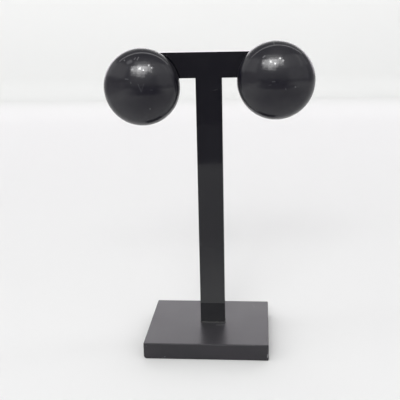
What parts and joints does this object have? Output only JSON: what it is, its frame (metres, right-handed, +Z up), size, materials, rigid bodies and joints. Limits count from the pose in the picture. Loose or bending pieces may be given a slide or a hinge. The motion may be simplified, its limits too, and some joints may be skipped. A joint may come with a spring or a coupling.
{
  "type": "pair of domed button clip-on earrings on a t-bar display stand",
  "caption": "Pair of round domed clip-on earrings with flat backs and spring clips, gripping the crossbar of a slim T-bar stand on a rectangular base plate.",
  "frame": {"origin": "centre of the base plate's underside, on the table", "axes": "+X to the viewer's right, +Y to the back, +Z up; the domes face -Y"},
  "size_m": [0.0731, 0.0396, 0.11],
  "materials": {
    "base_acrylic": "black acrylic, satin from handling",
    "tee_acrylic": "polished black acrylic",
    "dome_black": "black moulded plastic, soft gloss with fine scratches",
    "clip_metal": "nickel-plated steel"
  },
  "bodies": {
    "root": {"base_plate": "base_acrylic", "t_bar": "tee_acrylic", "left_dome": "dome_black", "right_dome": "dome_black", "left_clip": "clip_metal", "right_clip": "clip_metal"}
  },
  "joints": []
}
